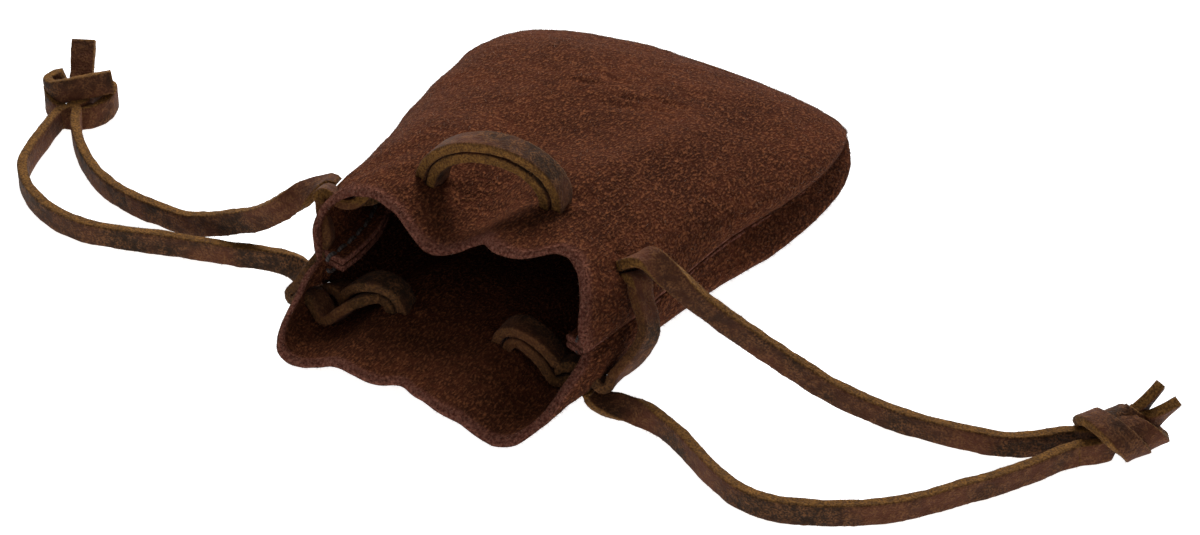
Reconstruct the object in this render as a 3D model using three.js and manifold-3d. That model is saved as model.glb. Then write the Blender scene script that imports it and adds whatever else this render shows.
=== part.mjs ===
// A small suede drawstring pouch lying on its back panel with its mouth open.
// Two flat laces run round the neck through eight slits, one knotted on each side.
// Millimetres, +Z up, +Y from the mouth to the base, origin on the table under the middle of the pouch.

import * as THREE from "three";
import { mergeVertices } from "three/addons/utils/BufferGeometryUtils.js";
import Module from "manifold-3d";

const wasm = await Module();
wasm.setup();

// Driving dimensions.
const POUCH_WIDTH = 89;        // widest place, near the base
const POUCH_LENGTH = 119;      // lower lip to the middle of the base seam
const POUCH_HEIGHT = 32;       // crown of the front panel above the table
const LEATHER = 1.4;           // thickness of the suede
const LACE_WIDTH = 5;          // across the flat lace
const LACE_THICKNESS = 2.1;    // through the flat lace
const LACE_CORNER = 0.5;       // eased corners of the lace
const GAP = 0.3;               // clearance between pieces that touch
const PAIR_GAP = 0.5;          // clearance between the two laces of a pair
const SLIT_CLEARANCE = 0.45;   // room round the pair of laces in a slit
const HUMP_CLEARANCE = 1.8;    // room for the pair of laces between the back panel and the table
const ARCH_RISE = 9.5;         // the slack pair of laces above the front panel
const WRAP_RISE = { left: 1, right: 3 };      // the loop over a side seam stands off by this much
const SPRING = { inner: 0.4, outer: 0.1 };    // how far a lace keeps its heading when it leaves a slit
const SAG = { inner: -1, outer: 1 };          // how far its middle then stands off its straight way
const INSIDE_SLACK = 1.2;      // extra room between the laces and the inner face
const THREAD_RADIUS = 0.4;     // sewing thread
const SEAM_INSET = 2.2;        // seam line inside the skin
const DIP_DEPTH = 7.5;         // valley of the upper lip
const DIP_WIDTH = 8;           // half-width of that valley
const DIP_X = -3;              // where the valley runs
const KNOT_RADII = [6.5, 6.5, 4.8];
const STUB_LENGTH = 11.5;      // cut lace ends that stick out of a knot
const STUB_ROOT = 1;           // how deep they start inside the knot
const STUB_SPREAD = 0.12;      // each cut end turns outwards by this angle, in radians

// The pouch in cross sections from mouth to base, as shares of its length, width and height.
const FLOOR_Y = [0, 0.134, 0.265, 0.441, 0.618, 0.769, 0.88, 0.938, 0.965];
const BOW = [0, 0, 0, 0, 0, 0.008, 0.022, 0.032, 0.035];
const SKEW = [0, 0.07, 0.05, 0.02, 0, 0, 0, 0, 0];
const LEAN = [0.61, 0.625, 0.594, 0.437, 0.25, 0.063, -0.031, -0.016, 0];
const HALF_WIDTH = [0.67, 0.764, 0.8, 0.875, 0.96, 1, 0.955, 0.86, 0.74];
const CROWN = [0.95, 0.985, 0.97, 0.875, 0.8, 0.72, 0.58, 0.43, 0.312];
const SEAM = [0.44, 0.47, 0.47, 0.44, 0.375, 0.345, 0.33, 0.3125, 0.3125];
const UNDER = [0, 0, 0, 0, 0, 0, 0.047, 0.172, 0.312];
const DIP = [1, 0.75, 0.35, 0.1, 0, 0, 0, 0, 0];
const HUMP = [0.8, 1, 0.85, 0.3, 0, 0, 0, 0, 0];
const FRONT_ROUNDING = [4, 2.7, 2.4, 2.4, 2.4, 2.4, 2.4, 2.4, 2.4];    // squareness of the front panel
const BACK_ROUNDING = [4.5, 3.1, 2.9, 2.9, 2.9, 2.9, 2.9, 2.9, 2.9];   // squareness of the back panel
const STATIONS = FLOOR_Y.length - 1;
const LIP = {                               // stations where the mouth's cut edge lies, from left to right
  front: [0.52, 0.5, 0.47, 0.47, 0.5, 0.5, 0.45, 0.36, 0.34, 0.42, 0.52, 0.45, 0.2, 0.2, 0.5, 0.5, 0.38,
    0.34, 0.36, 0.42, 0.5],
  back: [0.52, 0.4, 0.2, -0.05, -0.15, 0, 0.1, -0.1, -0.3, -0.25, 0, -0.2, -0.35, -0.35, -0.15, 0, 0.12,
    0.25, 0.36, 0.44, 0.5],
};
const SLIT_LINE = 1;                        // the slits lie on this cross section
const SLITS = {                             // places of the slits, as shares of the way across a panel
  front: [0.14, 0.38, 0.62, 0.83],
  back: [0.2, 0.395, 0.605, 0.8],
};
const FLATTENING = 1.06;                    // how much of the back panel touches the table
const HUMP_SHARE = 0.2056;                  // half-width of the stretch of back panel that the laces lift
const HUMP_SQUARENESS = 8;
const ACROSS = 32;                          // mesh steps across a panel
const ALONG = 16;                           // mesh steps along a panel

// Worked-out sizes.
const LAYER_STEP = LACE_THICKNESS + PAIR_GAP;
const NEAR = GAP + LACE_THICKNESS / 2;                // middle of a lace that touches the panel
const PAIR_THICKNESS = LACE_THICKNESS + LAYER_STEP;
const HUMP_HEIGHT = PAIR_THICKNESS + HUMP_CLEARANCE;
const HUMP_HALF_WIDTH = HUMP_SHARE * POUCH_WIDTH;
const STACKED = {                                     // a slit that the laces cross one on the other
  opening: PAIR_THICKNESS + 2 * SLIT_CLEARANCE,
  length: LACE_WIDTH + 2 * SLIT_CLEARANCE,
};
const ABREAST = {                                     // a slit that the laces cross side by side
  opening: LACE_THICKNESS + 2 * SLIT_CLEARANCE,
  length: 2 * LACE_WIDTH + 2 * GAP + 2 * SLIT_CLEARANCE,
};
const SIDESTEP = LACE_WIDTH / 2 + GAP;                // from the slit's middle to a lace that lies abreast
const DEEPER = 0.2 * LACE_WIDTH - 0.4;                // layers by which laces sink where the panel curves

const material = (color, roughness) => new THREE.MeshStandardMaterial({ color, roughness, metalness: 0 });

// Value of a row of stations at a place between them, smooth through every station. Before the first
// station the row goes straight on.
function between(row, t) {
  if (t < 0) return row[0] + t * (row[1] - row[0]) / 2;
  const i = Math.min(Math.floor(t), row.length - 2);
  const f = t - i;
  const a = row[Math.max(i - 1, 0)];
  const b = row[i];
  const c = row[i + 1];
  const d = row[Math.min(i + 2, row.length - 1)];
  return b + 0.5 * f * (c - a + f * (2 * a - 5 * b + 4 * c - d + f * (3 * (b - c) + d - a)));
}

// Point of a panel: u runs from the left seam to the right one, t along the stations.
// inset moves the whole cross section inwards, which gives the inner face.
function panelPoint(side, u, t, inset = 0) {
  const rounding = between(side === "front" ? FRONT_ROUNDING : BACK_ROUNDING, t);
  const angle = Math.PI * u;
  const c = Math.cos(angle);
  const s = Math.sin(angle);
  const r = (Math.abs(c) ** rounding + Math.abs(s) ** rounding) ** (1 / rounding);
  const x = -(between(HALF_WIDTH, t) * POUCH_WIDTH / 2 - inset) * c / r;
  const seam = between(SEAM, t) * POUCH_HEIGHT;
  const closed = LEATHER + GAP / 2;
  let z;
  if (side === "front") {
    const crown = Math.max(between(CROWN, t) * POUCH_HEIGHT, seam + closed) - inset;
    z = seam + GAP / 2 + (crown - seam - GAP / 2) * s / r;
    z -= between(DIP, t) * DIP_DEPTH * Math.exp(-(((x - DIP_X) / DIP_WIDTH) ** 2));
  } else {
    const under = Math.max(0, Math.min(between(UNDER, t) * POUCH_HEIGHT, seam - closed)) + inset;
    z = seam - GAP / 2 - (seam - GAP / 2 - under) * Math.min(1, FLATTENING * s / r);
    z += Math.max(0, between(HUMP, t)) * HUMP_HEIGHT / (1 + (x / HUMP_HALF_WIDTH) ** HUMP_SQUARENESS);
  }
  const bow = between(BOW, t) * (1 - (c / r) ** 2);
  const y = (between(FLOOR_Y, t) + bow - 0.5) * POUCH_LENGTH + between(LEAN, t) * z + between(SKEW, t) * x;
  return new THREE.Vector3(x, y, z);
}

// Directions on a panel: across it towards the right seam, along it towards the base, and outwards.
function panelFrame(side, u, t) {
  const step = 0.004;
  const across = panelPoint(side, u + step, t).sub(panelPoint(side, u - step, t)).normalize();
  const along = panelPoint(side, u, t + step).sub(panelPoint(side, u, t - step));
  along.addScaledVector(across, -along.dot(across)).normalize();
  const out = across.clone().cross(along).normalize();
  if (side === "back") out.negate();
  return { at: panelPoint(side, u, t), across, along, out };
}

// A closed shell from its outer and inner faces, joined along all four edges.
function panelGeometry(side) {
  const positions = [];
  for (const inset of [0, LEATHER]) {
    for (let j = 0; j <= ALONG; j += 1) {
      for (let i = 0; i <= ACROSS; i += 1) {
        const u = i / ACROSS;
        const lip = between(LIP[side], u * (LIP[side].length - 1));
        positions.push(...panelPoint(side, u, lip + (j / ALONG) * (STATIONS - lip), inset).toArray());
      }
    }
  }
  const row = ACROSS + 1;
  const layer = row * (ALONG + 1);
  const index = [];
  const quad = (a, b, c, d) => index.push(a, b, c, a, c, d);
  for (let j = 0; j < ALONG; j += 1) {
    for (let i = 0; i < ACROSS; i += 1) {
      const a = j * row + i;
      quad(a, a + 1, a + row + 1, a + row);
      quad(layer + a, layer + a + row, layer + a + row + 1, layer + a + 1);
    }
    const left = j * row;
    const right = left + ACROSS;
    quad(left, left + row, layer + left + row, layer + left);
    quad(right, layer + right, layer + right + row, right + row);
  }
  for (let i = 0; i < ACROSS; i += 1) {
    const mouth = i;
    const base = ALONG * row + i;
    quad(mouth, layer + mouth, layer + mouth + 1, mouth + 1);
    quad(base, base + 1, layer + base + 1, layer + base);
  }
  if (side === "back") index.reverse();
  const geometry = new THREE.BufferGeometry();
  geometry.setAttribute("position", new THREE.Float32BufferAttribute(positions, 3));
  geometry.setIndex(index);
  return geometry;
}

function toSolid(geometry) {
  const bare = geometry.clone();
  bare.deleteAttribute("normal");
  bare.deleteAttribute("uv");
  const merged = mergeVertices(bare, 1e-4);
  return new wasm.Manifold(new wasm.Mesh({
    numProp: 3,
    vertProperties: new Float32Array(merged.attributes.position.array),
    triVerts: new Uint32Array(merged.index.array),
  }));
}

function toGeometry(solid) {
  const mesh = solid.getMesh();
  const geometry = new THREE.BufferGeometry();
  geometry.setAttribute("position", new THREE.BufferAttribute(mesh.vertProperties, 3));
  geometry.setIndex(new THREE.BufferAttribute(mesh.triVerts, 1));
  return geometry;
}

// The cutter for one slit, square to the panel.
function slitCutter(side, u, size) {
  const { at, across, along, out } = panelFrame(side, u, SLIT_LINE);
  const cutter = new THREE.BoxGeometry(size.opening, size.length, LEATHER * 5);
  const placed = new THREE.Matrix4().makeBasis(across, along, across.clone().cross(along));
  cutter.applyMatrix4(placed.setPosition(at.clone().addScaledVector(out, -LEATHER / 2)));
  return toSolid(cutter);
}

function panel(side) {
  let solid = toSolid(panelGeometry(side));
  SLITS[side].forEach((u, i) => {
    solid = solid.subtract(slitCutter(side, u, i === 0 ? ABREAST : STACKED));
  });
  const mesh = new THREE.Mesh(toGeometry(solid), material(0x4f2c22, 0.95));
  mesh.name = `${side}_panel`;
  return mesh;
}

// A path given by its own points and by the direction of the lace's width at each of them.
class LacePath extends THREE.Curve {
  constructor(points, widths) {
    super();
    this.points = points;
    this.widths = widths;
  }

  getSpacedPoints() {
    return this.points;
  }

  computeFrenetFrames() {
    const tangents = this.points.map((point, i) => {
      const before = this.points[Math.max(i - 1, 0)];
      const after = this.points[Math.min(i + 1, this.points.length - 1)];
      return after.clone().sub(before).normalize();
    });
    const normals = this.widths.map((width, i) => {
      const tangent = tangents[i];
      return width.clone().addScaledVector(tangent, -width.dot(tangent)).normalize();
    });
    const binormals = tangents.map((tangent, i) => tangent.clone().cross(normals[i]));
    return { tangents, normals, binormals };
  }
}

// A flat lace with slightly eased corners along a path.
function laceMesh(name, stops) {
  const w = LACE_WIDTH / 2;
  const h = LACE_THICKNESS / 2;
  const section = new THREE.Shape([
    [w - LACE_CORNER, -h], [w, LACE_CORNER - h], [w, h - LACE_CORNER], [w - LACE_CORNER, h],
    [LACE_CORNER - w, h], [-w, h - LACE_CORNER], [-w, LACE_CORNER - h], [LACE_CORNER - w, -h],
  ].map(([x, y]) => new THREE.Vector2(x, y)));
  const path = new LacePath(stops.map((stop) => stop.at), stops.map((stop) => stop.width));
  const geometry = new THREE.ExtrudeGeometry(section, { steps: stops.length - 1, extrudePath: path });
  const mesh = new THREE.Mesh(geometry, material(0x4a3420, 0.9));
  mesh.name = name;
  return mesh;
}

// Heights of a lace above the outer face: layer 1 touches the panel, layer 2 lies on layer 1.
const outside = (layer) => NEAR + (layer - 1) * LAYER_STEP;
const inside = (layer) => -LEATHER - INSIDE_SLACK - outside(layer);

// Share of the way across a panel that a distance covers at a slit.
function shareOf(side, u, distance) {
  const step = 0.004;
  const covered = panelPoint(side, u + step, SLIT_LINE).distanceTo(panelPoint(side, u - step, SLIT_LINE));
  return (distance * 2 * step) / covered;
}

// How a lace crosses a slit: how far from its middle it passes, the layers it joins on either face of
// the panel, and how far it lies sideways. The lace that lies outermost on one face of the panel is the
// one that touches the other face. Behind the front panel's left slit the two lie deeper, the more so
// the wider they are, because the panel drops towards its seam there.
const crossing = {
  nearOutside: { pass: LAYER_STEP / 2, outer: 1, inner: 2, aside: 0 },
  farOutside: { pass: -LAYER_STEP / 2, outer: 2, inner: 1, aside: 0 },
  loopAbreast: { pass: 0, outer: 1, inner: 1, aside: -SIDESTEP },
  tailAbreast: { pass: 0, outer: 1, inner: 2, aside: SIDESTEP },
  loopDeep: { pass: 0, outer: 1, inner: 1 + DEEPER, aside: -SIDESTEP },
  tailDeep: { pass: 0, outer: 1, inner: 2 + DEEPER, aside: SIDESTEP },
};

// Distances from the slit's middle at which a crossing lace lies flat again on the panel.
const outerReach = (way) => way.pass + outside(way.outer);
const innerReach = (way) => outside(way.inner) + INSIDE_SLACK - way.pass;

// A lace going in through a slit. towards is the side of the slit, +1 or -1, where it lies outside.
// A tail starts square in the slit, because it has no bend outside.
function throughSlit(side, u, towards, way, startsInSlit = false) {
  const { at, across, along, out } = panelFrame(side, u, SLIT_LINE);
  const middle = at.addScaledVector(along, way.aside);
  const place = (s, lift) => ({
    at: middle.clone().addScaledVector(across, s * towards).addScaledVector(out, lift),
    width: along,
  });
  const bend = (centre, depth, radius, turn) => [1, 2, 3].map((k) => {
    const angle = (k / 4) * Math.PI / 2;
    return place(centre + turn * radius * Math.cos(angle), depth - turn * radius * Math.sin(angle));
  });
  const stops = [];
  if (!startsInSlit) {
    stops.push(place(outerReach(way), outside(way.outer)));
    stops.push(...bend(outerReach(way), 0, outside(way.outer), -1).reverse());
  }
  stops.push(place(way.pass, 0), place(way.pass, -LEATHER));
  stops.push(...bend(-innerReach(way), -LEATHER, outside(way.inner) + INSIDE_SLACK, 1));
  stops.push(place(-innerReach(way), inside(way.inner)));
  return stops;
}

// A smooth stretch of lace that leaves one stop and arrives at another along their headings.
// Each stop's offset moves it along its own normal, which keeps the two laces of a pair side by side.
function bridge(from, to, spring, sag) {
  const reach = from.at.distanceTo(to.at) * spring;
  const point = (q) => new THREE.Vector3()
    .addScaledVector(from.at, (1 + 2 * q) * (1 - q) ** 2)
    .addScaledVector(from.heading, reach * q * (1 - q) ** 2)
    .addScaledVector(to.at, q * q * (3 - 2 * q))
    .addScaledVector(to.heading, reach * q * q * (q - 1));
  const facing = Math.sign(from.heading.clone().cross(from.width).dot(from.out));
  const stops = [];
  const steps = 10;
  for (let k = 1; k < steps; k += 1) {
    const q = k / steps;
    const eased = q * q * (3 - 2 * q);
    const width = from.width.clone().lerp(to.width, q);
    const normal = point(q + 0.01).sub(point(q - 0.01)).cross(width).normalize();
    const height = from.offset + (to.offset - from.offset) * eased + sag * Math.sin(Math.PI * q) ** 2;
    const at = point(q).addScaledVector(normal, facing * height);
    stops.push({ at: at.addScaledVector(width, from.aside + (to.aside - from.aside) * eased), width });
  }
  return stops;
}

// The stretch between two slits of a panel, inside the pouch or under it. The pair keeps its layers,
// and a lace that lies abreast at one end joins the pair on the way.
function span(side, face, from, fromWay, to, toWay) {
  const height = face === "inner" ? inside : outside;
  const reachOf = face === "inner" ? innerReach : outerReach;
  const furthest = innerReach(side === "front" ? crossing.tailDeep : crossing.tailAbreast);
  const heading = Math.sign(to - from);
  const end = (u, way, sign) => {
    const { at, across, along, out } = panelFrame(side, u, SLIT_LINE);
    const reach = way.aside === 0 ? reachOf(way) : furthest;
    at.addScaledVector(across, sign * heading * reach).addScaledVector(out, height(1.5));
    const offset = height(way[face]) - height(1.5);
    return { at, heading: across.multiplyScalar(heading), width: along, out, aside: way.aside, offset };
  };
  return bridge(end(from, fromWay, 1), end(to, toWay, -1), SPRING[face], SAG[face]);
}

// The slack pair above the front panel: half an ellipse from slit to slit.
function arch(layer) {
  const [, left, right] = SLITS.front.map((u) => panelFrame("front", u, SLIT_LINE));
  const middle = left.at.clone().lerp(right.at, 0.5);
  const chord = right.at.clone().sub(left.at);
  const half = chord.length() / 2;
  const across = chord.normalize();
  const up = left.out.clone().add(right.out).normalize();
  const grow = (layer - 1.5) * LAYER_STEP;
  const stops = [];
  const steps = 14;
  for (let k = 1; k < steps; k += 1) {
    const angle = Math.PI * (1 - k / steps);
    const at = middle.clone().addScaledVector(across, (half + grow) * Math.cos(angle));
    at.addScaledVector(up, (ARCH_RISE + grow) * Math.sin(angle));
    stops.push({ at, width: left.along.clone().lerp(right.along, k / steps) });
  }
  return stops;
}

// The loop over a side seam, from the front panel's end slit to the back panel's.
function overSeam(edge, way) {
  const right = edge === "right";
  const outwards = right ? 1 : -1;
  const front = right ? SLITS.front[3] : SLITS.front[0];
  const back = right ? SLITS.back[3] : SLITS.back[0];
  const nearSeam = right ? 0.99 : 0.01;
  const start = front + outwards * shareOf("front", front, outerReach(way));
  const finish = back + outwards * shareOf("back", back, outerReach(way));
  const places = [];
  for (let k = 1; k <= 5; k += 1) {
    places.push(["front", start + (nearSeam - start) * k / 5]);
  }
  for (let k = 0; k < 5; k += 1) {
    places.push(["back", nearSeam + (finish - nearSeam) * k / 5]);
  }
  return places.map(([side, u], k) => {
    const { at, along, out } = panelFrame(side, u, SLIT_LINE);
    const hill = Math.sin(Math.PI * (k + 1) / (places.length + 1)) ** 4;
    at.addScaledVector(out, outside(way.outer) + WRAP_RISE[edge] * hill).addScaledVector(along, way.aside);
    return { at, width: along };
  });
}

const reversed = (stops) => [...stops].reverse();

// The threaded part of the right lace, from its upper tail to its lower one.
function rightLoop() {
  const [t1, t2, t3, t4] = SLITS.front;
  const [b1, b2, b3, b4] = SLITS.back;
  const pair = crossing.farOutside;
  const { loopAbreast, loopDeep } = crossing;
  return laceMesh("right_cord_loop", [
    ...throughSlit("front", t4, 1, pair, true),
    ...span("front", "inner", t4, pair, t3, pair),
    ...reversed(throughSlit("front", t3, -1, pair, true)),
    ...reversed(arch(2)),
    ...throughSlit("front", t2, 1, pair, true),
    ...span("front", "inner", t2, pair, t1, loopDeep),
    ...reversed(throughSlit("front", t1, -1, loopDeep)),
    ...overSeam("left", loopAbreast),
    ...throughSlit("back", b1, -1, loopAbreast),
    ...span("back", "inner", b1, loopAbreast, b2, pair),
    ...reversed(throughSlit("back", b2, 1, pair)),
    ...span("back", "outer", b2, pair, b3, pair),
    ...throughSlit("back", b3, -1, pair),
    ...span("back", "inner", b3, pair, b4, pair),
    ...reversed(throughSlit("back", b4, 1, pair, true)),
  ]);
}

// The threaded part of the left lace, from its upper tail to its lower one.
function leftLoop() {
  const [t1, t2, t3, t4] = SLITS.front;
  const [b1, b2, b3, b4] = SLITS.back;
  const pair = crossing.nearOutside;
  const { tailAbreast, tailDeep } = crossing;
  return laceMesh("left_cord_loop", [
    ...throughSlit("front", t1, -1, tailDeep, true),
    ...span("front", "inner", t1, tailDeep, t2, pair),
    ...reversed(throughSlit("front", t2, 1, pair, true)),
    ...arch(1),
    ...throughSlit("front", t3, -1, pair, true),
    ...span("front", "inner", t3, pair, t4, pair),
    ...reversed(throughSlit("front", t4, 1, pair)),
    ...overSeam("right", pair),
    ...throughSlit("back", b4, 1, pair),
    ...span("back", "inner", b4, pair, b3, pair),
    ...reversed(throughSlit("back", b3, -1, pair)),
    ...span("back", "outer", b3, pair, b2, pair),
    ...throughSlit("back", b2, 1, pair),
    ...span("back", "inner", b2, pair, b1, tailAbreast),
    ...reversed(throughSlit("back", b1, -1, tailAbreast, true)),
  ]);
}

// Where a tail leaves its slit: the middle of the lace just outside the panel.
function tailExit(side, edge) {
  const right = edge === "right";
  const way = right ? crossing.farOutside : crossing.tailAbreast;
  const slit = SLITS[side][right ? 3 : 0];
  const towards = right ? 1 : -1;
  const { at, along, out } = panelFrame(side, slit + shareOf(side, slit, way.pass * towards), SLIT_LINE);
  return { exit: at.addScaledVector(along, way.aside).addScaledVector(out, GAP), along, out };
}

// Each tail's route from its slit to its knot: outwards from the exit, along +Y from it, and height.
const TAILS = {
  right_cord_tail_upper: [
    [3.2, 0.6, 27.2], [7.5, 1.8, 24], [12.5, 3, 20], [17.5, 4, 16.6], [25, 6, 11.8], [32.5, 8, 7.3],
    [40.5, 9.3, 3.9], [49, 9.7, 2.8], [57, 10, 2.8], [65, 11.3, 2.8], [72, 13, 2.8], [78.5, 17, 2.8],
    [82, 20.4, 3], [84, 21.7, 3],
  ],
  right_cord_tail_lower: [
    [3.2, -0.6, 2.4], [7, -0.6, 2.7], [11, -0.3, 2.8], [16, -1.1, 2.8], [21.5, -3.2, 2.8],
    [27.5, -6.5, 2.8], [34, -9.8, 2.8], [39, -11.4, 2.8], [43, -11.6, 2.8], [50, -9.7, 2.8],
    [56.5, -6.3, 2.8], [62.5, -2, 2.8], [68, 3.5, 2.8], [72.5, 9.7, 2.8], [77.5, 16.3, 2.8],
    [82, 23.6, 2.8], [85, 28.8, 3], [87.3, 32, 3],
  ],
  left_cord_tail_upper: [
    [2.5, -0.8, 21.4], [5.5, -2.8, 19.4], [10, -5, 15.4], [15, -5.4, 11.4], [21.5, -5, 7.8],
    [29, -5.2, 4.4], [35, -5.4, 2.8], [40.5, -5.6, 2.8], [46, -5.5, 2.8], [52, -4.6, 2.8],
    [58, -2.7, 2.8], [64, 0.7, 2.8], [69.5, 4.9, 2.8], [74.8, 10.4, 3], [76.6, 13.2, 3],
  ],
  left_cord_tail_lower: [
    [3, 1, 3], [6.5, 3.2, 3], [9.8, 4.6, 3], [13.5, 4.6, 3], [18, 3.6, 2.9], [22.5, 2.2, 2.8],
    [29.5, 0.2, 2.8], [38, -2.4, 2.8], [46, -5.2, 2.8], [54, -7, 2.8], [60.5, -6.8, 2.8], [67, -5, 2.8],
    [74, -0.9, 2.8], [78, 3.5, 2.8], [80, 8.5, 2.8], [81.5, 14, 2.8], [82.8, 19.8, 3], [83.2, 22.6, 3],
  ],
};

// A tail: it leaves the slit square to the panel, turns on edge and runs to its knot.
function tail(name, side, edge) {
  const { exit, along, out } = tailExit(side, edge);
  const towards = edge === "right" ? 1 : -1;
  const start = exit.clone().addScaledVector(out, LACE_THICKNESS / 2);
  const route = TAILS[name].map(([away, on, z]) => (
    new THREE.Vector3(exit.x + towards * away, exit.y + on, z)
  ));
  const curve = new THREE.CatmullRomCurve3([start, ...route], false, "centripetal");
  const steps = 20;
  const turned = 0.16;                       // share of the length over which the lace turns on edge
  const stops = curve.getSpacedPoints(steps).map((at, k) => {
    const turn = Math.min(1, k / steps / turned);
    return { at, width: along.clone().lerp(new THREE.Vector3(0, 0, 1), turn) };
  });
  return laceMesh(name, [{ at: exit, width: along }, ...stops]);
}

// A knot of both ends of a lace, with its two cut ends.
function knot(name, at, heading) {
  let solid = toSolid(new THREE.SphereGeometry(1, 14, 8).scale(...KNOT_RADII));
  for (const side of [-1, 1]) {
    const stub = new THREE.BoxGeometry(STUB_LENGTH, LACE_THICKNESS, LACE_WIDTH);
    stub.translate(KNOT_RADII[0] - STUB_ROOT + STUB_LENGTH / 2, side * (LACE_THICKNESS / 2 + GAP / 2), 0);
    solid = solid.add(toSolid(stub.rotateZ(side * STUB_SPREAD)));
  }
  const mesh = new THREE.Mesh(toGeometry(solid), material(0x4d2d1c, 0.85));
  mesh.name = name;
  mesh.position.copy(at);
  mesh.rotation.z = heading;
  return mesh;
}

// The sewing thread of the seam: down one side, round the base and up the other.
function seamThread() {
  const points = [];
  const corner = 6.6;                        // the stations where the seam turns and where its base runs
  const base = 7.25;
  const turning = 0.0614;                    // share of the base that each rounded corner takes
  const steps = 10;
  const edge = (u, t) => {
    const at = panelPoint("front", u, t, LEATHER + SEAM_INSET);
    at.z = between(SEAM, t) * POUCH_HEIGHT;
    return at;
  };
  for (let t = 0.6; t < corner; t += 0.5) {
    points.push(edge(0, t));
  }
  const left = edge(0, base);
  const right = edge(1, base);
  for (let k = 0; k <= steps; k += 1) {
    points.push(left.clone().lerp(right, turning + (1 - 2 * turning) * k / steps));
  }
  for (let t = corner; t > 0.5; t -= 0.5) {
    points.push(edge(1, t));
  }
  const circle = new THREE.Shape().absarc(0, 0, THREAD_RADIUS, 0, Math.PI * 2);
  const path = new THREE.CatmullRomCurve3(points, false, "centripetal");
  const geometry = new THREE.ExtrudeGeometry(circle, { steps: 44, curveSegments: 3, extrudePath: path });
  const mesh = new THREE.Mesh(geometry, material(0x2e1a14, 0.8));
  mesh.name = "seam_thread";
  return mesh;
}

// Knots sit where the two tails of a lace meet.
function knotPlace(edge, away, on) {
  const { exit } = tailExit("front", edge);
  const towards = edge === "right" ? 1 : -1;
  return new THREE.Vector3(exit.x + towards * away, exit.y + on, KNOT_RADII[2]);
}

const pouch = new THREE.Group();
pouch.add(panel("front"));
pouch.add(panel("back"));
pouch.add(seamThread());
pouch.add(rightLoop());
pouch.add(leftLoop());
pouch.add(tail("right_cord_tail_upper", "front", "right"));
pouch.add(tail("right_cord_tail_lower", "back", "right"));
pouch.add(tail("left_cord_tail_upper", "front", "left"));
pouch.add(tail("left_cord_tail_lower", "back", "left"));
pouch.add(knot("right_cord_knot", knotPlace("right", 90.4, 24.5), 1.3));
pouch.add(knot("left_cord_knot", knotPlace("left", 80.3, 19), 2.2));

export default pouch;
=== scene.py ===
import math

import bpy
import numpy as np
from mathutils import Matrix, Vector, noise


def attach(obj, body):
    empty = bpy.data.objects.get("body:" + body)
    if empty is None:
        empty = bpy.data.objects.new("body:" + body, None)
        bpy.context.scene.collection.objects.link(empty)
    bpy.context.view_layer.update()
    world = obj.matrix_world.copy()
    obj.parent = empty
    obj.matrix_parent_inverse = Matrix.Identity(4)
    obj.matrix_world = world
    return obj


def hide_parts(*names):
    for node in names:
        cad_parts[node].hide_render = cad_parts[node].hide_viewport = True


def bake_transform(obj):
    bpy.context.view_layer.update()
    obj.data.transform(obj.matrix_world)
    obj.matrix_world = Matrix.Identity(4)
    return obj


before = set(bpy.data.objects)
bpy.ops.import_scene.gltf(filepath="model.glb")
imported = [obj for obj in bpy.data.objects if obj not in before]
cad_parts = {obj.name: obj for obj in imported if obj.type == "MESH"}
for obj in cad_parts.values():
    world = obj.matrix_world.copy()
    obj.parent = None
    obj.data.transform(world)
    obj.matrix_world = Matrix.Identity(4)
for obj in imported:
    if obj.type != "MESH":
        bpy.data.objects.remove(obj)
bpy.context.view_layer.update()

# ---- The table and the light ---------------------------------------------------------------------
# The pouch lies on a white sheet. A wide soft lamp hangs above and behind
# it, with a weaker one in front, and the camera looks down at the open mouth.
TABLE_SIZE = 6.0
TABLE_BELOW = 0.0004
camera_data = bpy.data.cameras.new("camera")
camera_data.lens = 97.5
camera_data.sensor_width = 36
camera_data.clip_start = 0.01
camera = bpy.data.objects.new("camera", camera_data)
camera.location = (0.27695, -0.44617, 0.39118)
aim = Vector((0.00959, -0.00121, 0.0))
camera.rotation_euler = (aim - camera.location).to_track_quat("-Z", "Y").to_euler()
bpy.context.collection.objects.link(camera)
bpy.context.scene.camera = camera
bpy.context.scene.view_settings.view_transform = "Standard"


def lamp(name, place, target, size, power):
    data = bpy.data.lights.new(name, "AREA")
    data.size = size
    data.energy = power
    lamp_object = bpy.data.objects.new(name, data)
    lamp_object.location = place
    lamp_object.rotation_euler = (Vector(target) - Vector(place)).to_track_quat("-Z", "Y").to_euler()
    bpy.context.collection.objects.link(lamp_object)


lamp("lamp_above", (-0.22, 0.5, 0.62), (0, 0, 0), 0.42, 8.5)
lamp("lamp_front", (0.5, -0.7, 0.5), (0, 0, 0), 0.7, 0.45)

world = bpy.data.worlds.new("room")
world.use_nodes = True
world.node_tree.nodes["Background"].inputs["Color"].default_value = (1, 1, 1, 1)
world.node_tree.nodes["Background"].inputs["Strength"].default_value = 0.2
bpy.context.scene.world = world

table_mesh = bpy.data.meshes.new("table")
half = TABLE_SIZE / 2
table_mesh.from_pydata(
    [(-half, -half, -TABLE_BELOW), (half, -half, -TABLE_BELOW),
     (half, half, -TABLE_BELOW), (-half, half, -TABLE_BELOW)], [], [(0, 1, 2, 3)])
table = bpy.data.objects.new("table", table_mesh)
bpy.context.collection.objects.link(table)
paper = bpy.data.materials.new("white_paper")
paper.use_nodes = True
paper_shader = paper.node_tree.nodes["Principled BSDF"]
paper_shader.inputs["Base Color"].default_value = (0.7, 0.7, 0.7, 1)
paper_shader.inputs["Roughness"].default_value = 0.9
paper_shader.inputs["Emission Color"].default_value = (1, 1, 1, 1)
paper_shader.inputs["Emission Strength"].default_value = 0.95
table.data.materials.append(paper)

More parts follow.
